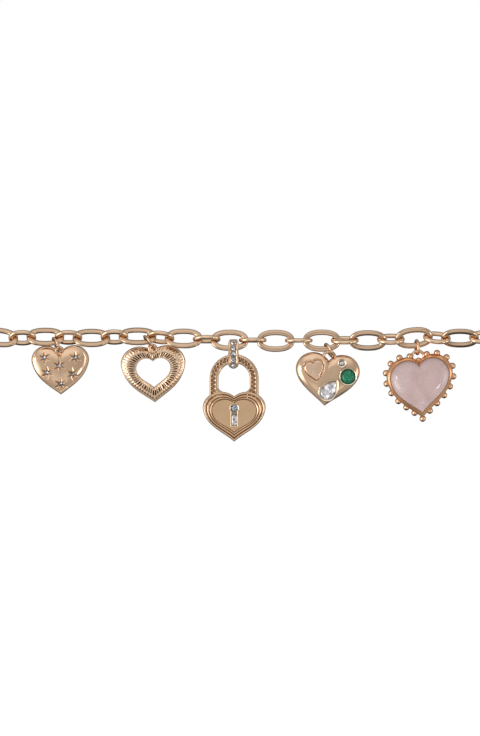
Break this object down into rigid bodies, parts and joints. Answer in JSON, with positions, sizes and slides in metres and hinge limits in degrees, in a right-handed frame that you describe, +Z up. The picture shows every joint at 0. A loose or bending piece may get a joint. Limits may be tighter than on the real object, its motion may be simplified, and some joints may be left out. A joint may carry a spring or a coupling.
{
  "type": "charm necklace",
  "caption": "Oval-link chain necklace with heart charms: starburst, open fluted, padlock on a bail, gem-set and beaded stone hearts along its front.",
  "frame": {"origin": "the nape: the middle of the loop's back, where the neck holds it", "axes": "+Z up, -Y towards the front of the wearer, +X to the right of a viewer who faces the charms"},
  "size_m": [0.1897, 0.1198, 0.1496],
  "materials": {
    "gold": "polished, slightly rosy gold",
    "rose_gold": "polished rose gold",
    "crystal": "clear faceted stone",
    "green_stone": "polished deep green stone",
    "pink_stone": "polished cloudy pink stone"
  },
  "bodies": {
    "necklace": {"chain_left_1": "gold", "chain_left_2": "gold", "chain_left_3": "gold", "chain_right_1": "gold", "chain_right_2": "gold", "chain_right_3": "gold", "clasp": "gold", "clasp_ring_left": "gold", "clasp_ring_right": "gold", "fluted_heart": "gold", "fluted_ring": "gold", "gem_green": "green_stone", "gem_heart": "gold", "gem_pear": "crystal", "gem_ring": "gold", "gem_round": "crystal", "link_long_02": "gold", "link_long_04": "gold", "link_long_06": "gold", "link_long_08": "gold", "link_long_10": "gold", "link_long_12": "gold", "link_long_14": "gold", "link_long_16": "gold", "link_long_18": "gold", "link_long_20": "gold", "link_long_22": "gold", "link_long_24": "gold", "link_long_26": "gold", "link_long_28": "gold", "link_long_30": "gold", "link_short_01": "gold", "link_short_03": "gold", "link_short_05": "gold", "link_short_07": "gold", "link_short_09": "gold", "link_short_11": "gold", "link_short_13": "gold", "link_short_15": "gold", "link_short_17": "gold", "link_short_19": "gold", "link_short_21": "gold", "link_short_23": "gold", "link_short_25": "gold", "link_short_27": "gold", "link_short_29": "gold", "link_short_31": "gold", "quartz_frame": "rose_gold", "quartz_ring": "rose_gold", "quartz_stone": "pink_stone", "starburst_heart": "gold", "starburst_ring": "gold"},
    "bail": {"bail": "gold"},
    "padlock": {"padlock": "gold", "keyhole_round": "crystal", "keyhole_baguette": "crystal"}
  },
  "joints": [
    {"name": "bail_swing", "type": "hinge", "parent": "necklace", "child": "bail", "pos_m": [-0.00195, -0.1147, -0.12052], "axis": [1, 0, 0], "range_deg": [-40, 40]},
    {"name": "padlock_swing", "type": "hinge", "parent": "bail", "child": "padlock", "pos_m": [-0.00162, -0.11469, -0.12372], "axis": [1, 0, 0], "range_deg": [-30, 30]}
  ]
}
